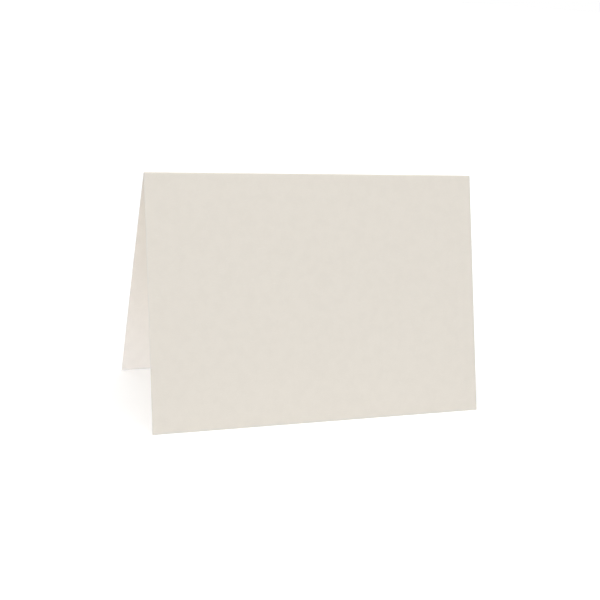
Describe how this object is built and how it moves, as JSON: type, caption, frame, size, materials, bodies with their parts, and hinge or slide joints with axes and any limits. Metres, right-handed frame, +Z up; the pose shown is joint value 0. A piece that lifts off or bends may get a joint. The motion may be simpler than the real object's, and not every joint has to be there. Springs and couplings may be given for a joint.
{
  "type": "greeting card",
  "caption": "Blank folded greeting card in plain ivory card stock, scored and folded across its middle, standing open like a tent with the fold on top.",
  "frame": {"origin": "on the surface the card stands on, midway along the fold and midway between the outer corners of the two feet", "axes": "+X along the fold, -Y towards the front panel's side, +Z up to the fold"},
  "size_m": [0.1778, 0.083, 0.1201],
  "materials": {
    "card_stock": "uncoated matte"
  },
  "bodies": {
    "root": {"card_sheet": "card_stock"}
  },
  "joints": []
}
